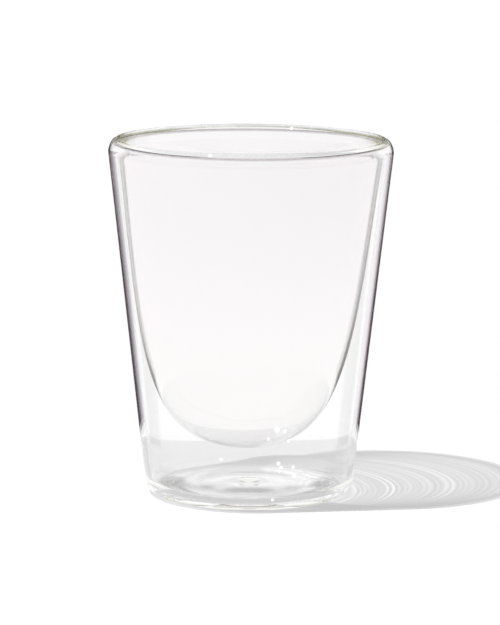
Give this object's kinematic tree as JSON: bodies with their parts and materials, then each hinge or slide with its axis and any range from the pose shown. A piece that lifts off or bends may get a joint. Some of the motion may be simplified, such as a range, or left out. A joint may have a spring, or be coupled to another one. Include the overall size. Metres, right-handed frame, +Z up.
{
  "type": "double walled glass cup",
  "caption": "Tapered clear glass tumbler with an inner bowl joined at the rim, an air gap and a vent in the base.",
  "frame": {"origin": "middle of the foot, on the plane that the cup stands on", "axes": "+Z up along the axis that the outer wall and rim are turned about; the bowl's bottom leans towards -X"},
  "size_m": [0.088, 0.088, 0.111],
  "materials": {
    "outer_glass": "clear, fire polished",
    "bowl_glass": "clear, fire polished",
    "rim_glass": "clear, flame rounded",
    "bead_glass": "clear, flame rounded"
  },
  "bodies": {
    "root": {"outer_wall": "outer_glass", "inner_bowl": "bowl_glass", "rim_weld": "rim_glass", "vent_bead": "bead_glass"}
  },
  "joints": []
}
